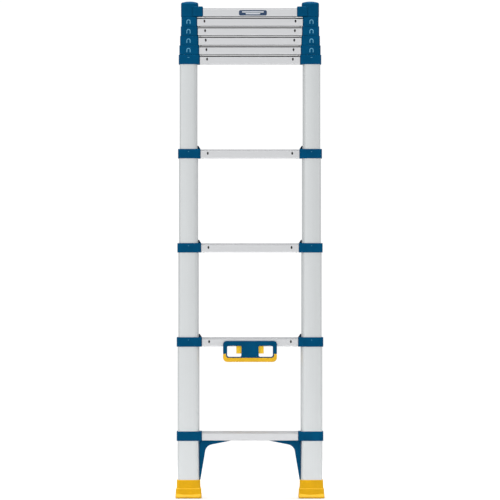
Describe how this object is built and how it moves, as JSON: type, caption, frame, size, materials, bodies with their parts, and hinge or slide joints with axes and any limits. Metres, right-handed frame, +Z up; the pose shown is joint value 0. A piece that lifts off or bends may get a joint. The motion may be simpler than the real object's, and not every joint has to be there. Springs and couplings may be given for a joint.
{
  "type": "telescoping ladder",
  "caption": "Telescoping ladder with nested aluminium tube stiles, hollow treads held by blue corner mouldings, a carrying handle with release triggers and yellow rubber feet.",
  "frame": {"origin": "on the floor, midway between the two feet", "axes": "+Z up along the stiles, -Y the front with the handle and indicator windows, +X towards the right stile seen from the front"},
  "size_m": [0.4704, 0.0724, 1.5681],
  "materials": {
    "stile_aluminium": "natural anodised extrusion, satin, fine lengthwise draw lines",
    "rung_aluminium": "natural anodised extrusion, satin, grooved tread",
    "blue_moulding": "moulded glass-filled plastic, petrol blue, fine texture",
    "foot_rubber": "yellow moulded rubber",
    "grip_rubber": "soft yellow over-moulding",
    "trigger_plastic": "yellow moulded plastic",
    "bolt_steel": "zinc-plated turned steel"
  },
  "bodies": {
    "bottom": {"tube_2_left": "stile_aluminium", "tube_2_right": "stile_aluminium", "rung_1": "rung_aluminium", "rung_2": "rung_aluminium", "bracket_left": "blue_moulding", "bracket_right": "blue_moulding", "collar_2_left": "blue_moulding", "collar_2_right": "blue_moulding", "foot_left": "foot_rubber", "foot_right": "foot_rubber", "handle_frame": "blue_moulding", "handle_grip": "grip_rubber"},
    "section_3": {"tube_3_left": "stile_aluminium", "tube_3_right": "stile_aluminium", "rung_3": "rung_aluminium", "collar_3_left": "blue_moulding", "collar_3_right": "blue_moulding"},
    "section_4": {"tube_4_left": "stile_aluminium", "tube_4_right": "stile_aluminium", "rung_4": "rung_aluminium", "collar_4_left": "blue_moulding", "collar_4_right": "blue_moulding"},
    "section_5": {"tube_5_left": "stile_aluminium", "tube_5_right": "stile_aluminium", "rung_5": "rung_aluminium", "collar_5_left": "blue_moulding", "collar_5_right": "blue_moulding"},
    "section_6": {"tube_6_left": "stile_aluminium", "tube_6_right": "stile_aluminium", "rung_6": "rung_aluminium", "collar_6_left": "blue_moulding", "collar_6_right": "blue_moulding"},
    "section_7": {"tube_7_left": "stile_aluminium", "tube_7_right": "stile_aluminium", "rung_7": "rung_aluminium", "collar_7_left": "blue_moulding", "collar_7_right": "blue_moulding"},
    "section_8": {"tube_8_left": "stile_aluminium", "tube_8_right": "stile_aluminium", "rung_8": "rung_aluminium", "collar_8_left": "blue_moulding", "collar_8_right": "blue_moulding"},
    "section_9": {"tube_9_left": "stile_aluminium", "tube_9_right": "stile_aluminium", "rung_9": "rung_aluminium", "collar_9_left": "blue_moulding", "collar_9_right": "blue_moulding"},
    "section_10": {"tube_10_left": "stile_aluminium", "tube_10_right": "stile_aluminium", "rung_10": "rung_aluminium", "cap_left": "blue_moulding", "cap_right": "blue_moulding"},
    "release_left": {"trigger_left": "trigger_plastic"},
    "release_right": {"trigger_right": "trigger_plastic"},
    "bolt_2_left": {"lock_bolt_2_left": "bolt_steel"},
    "bolt_2_right": {"lock_bolt_2_right": "bolt_steel"},
    "bolt_3_left": {"lock_bolt_3_left": "bolt_steel"},
    "bolt_3_right": {"lock_bolt_3_right": "bolt_steel"},
    "bolt_4_left": {"lock_bolt_4_left": "bolt_steel"},
    "bolt_4_right": {"lock_bolt_4_right": "bolt_steel"}
  },
  "joints": [
    {"name": "section_3_slide", "type": "slide", "parent": "bottom", "child": "section_3", "axis": [0, 0, 1], "range_m": [-0.267, 0]},
    {"name": "section_4_slide", "type": "slide", "parent": "section_3", "child": "section_4", "axis": [0, 0, 1], "range_m": [-0.267, 0]},
    {"name": "section_5_slide", "type": "slide", "parent": "section_4", "child": "section_5", "axis": [0, 0, 1], "range_m": [-0.267, 0]},
    {"name": "section_6_slide", "type": "slide", "parent": "section_5", "child": "section_6", "axis": [0, 0, 1], "range_m": [0, 0.267]},
    {"name": "section_7_slide", "type": "slide", "parent": "section_6", "child": "section_7", "axis": [0, 0, 1], "range_m": [0, 0.267]},
    {"name": "section_8_slide", "type": "slide", "parent": "section_7", "child": "section_8", "axis": [0, 0, 1], "range_m": [0, 0.267]},
    {"name": "section_9_slide", "type": "slide", "parent": "section_8", "child": "section_9", "axis": [0, 0, 1], "range_m": [0, 0.267]},
    {"name": "section_10_slide", "type": "slide", "parent": "section_9", "child": "section_10", "axis": [0, 0, 1], "range_m": [0, 0.267]},
    {"name": "release_left_slide", "type": "slide", "parent": "bottom", "child": "release_left", "axis": [1, 0, 0], "range_m": [0, 0.007], "stiffness_N_per_m": 400, "springref_m": -0.006},
    {"name": "release_right_slide", "type": "slide", "parent": "bottom", "child": "release_right", "axis": [-1, 0, 0], "range_m": [0, 0.007], "stiffness_N_per_m": 400, "springref_m": -0.006},
    {"name": "bolt_2_left_slide", "type": "slide", "parent": "bottom", "child": "bolt_2_left", "axis": [1, 0, 0], "range_m": [0, 0.007]},
    {"name": "bolt_2_right_slide", "type": "slide", "parent": "bottom", "child": "bolt_2_right", "axis": [-1, 0, 0], "range_m": [0, 0.007]},
    {"name": "bolt_3_left_slide", "type": "slide", "parent": "section_3", "child": "bolt_3_left", "axis": [1, 0, 0], "range_m": [0, 0.007], "stiffness_N_per_m": 400, "springref_m": -0.006},
    {"name": "bolt_3_right_slide", "type": "slide", "parent": "section_3", "child": "bolt_3_right", "axis": [-1, 0, 0], "range_m": [0, 0.007], "stiffness_N_per_m": 400, "springref_m": -0.006},
    {"name": "bolt_4_left_slide", "type": "slide", "parent": "section_4", "child": "bolt_4_left", "axis": [1, 0, 0], "range_m": [0, 0.007], "stiffness_N_per_m": 400, "springref_m": -0.006},
    {"name": "bolt_4_right_slide", "type": "slide", "parent": "section_4", "child": "bolt_4_right", "axis": [-1, 0, 0], "range_m": [0, 0.007], "stiffness_N_per_m": 400, "springref_m": -0.006}
  ],
  "couplings": [
    {"joint": "bolt_2_left_slide", "follows": "release_left_slide", "ratio": 1},
    {"joint": "bolt_2_right_slide", "follows": "release_right_slide", "ratio": 1}
  ]
}
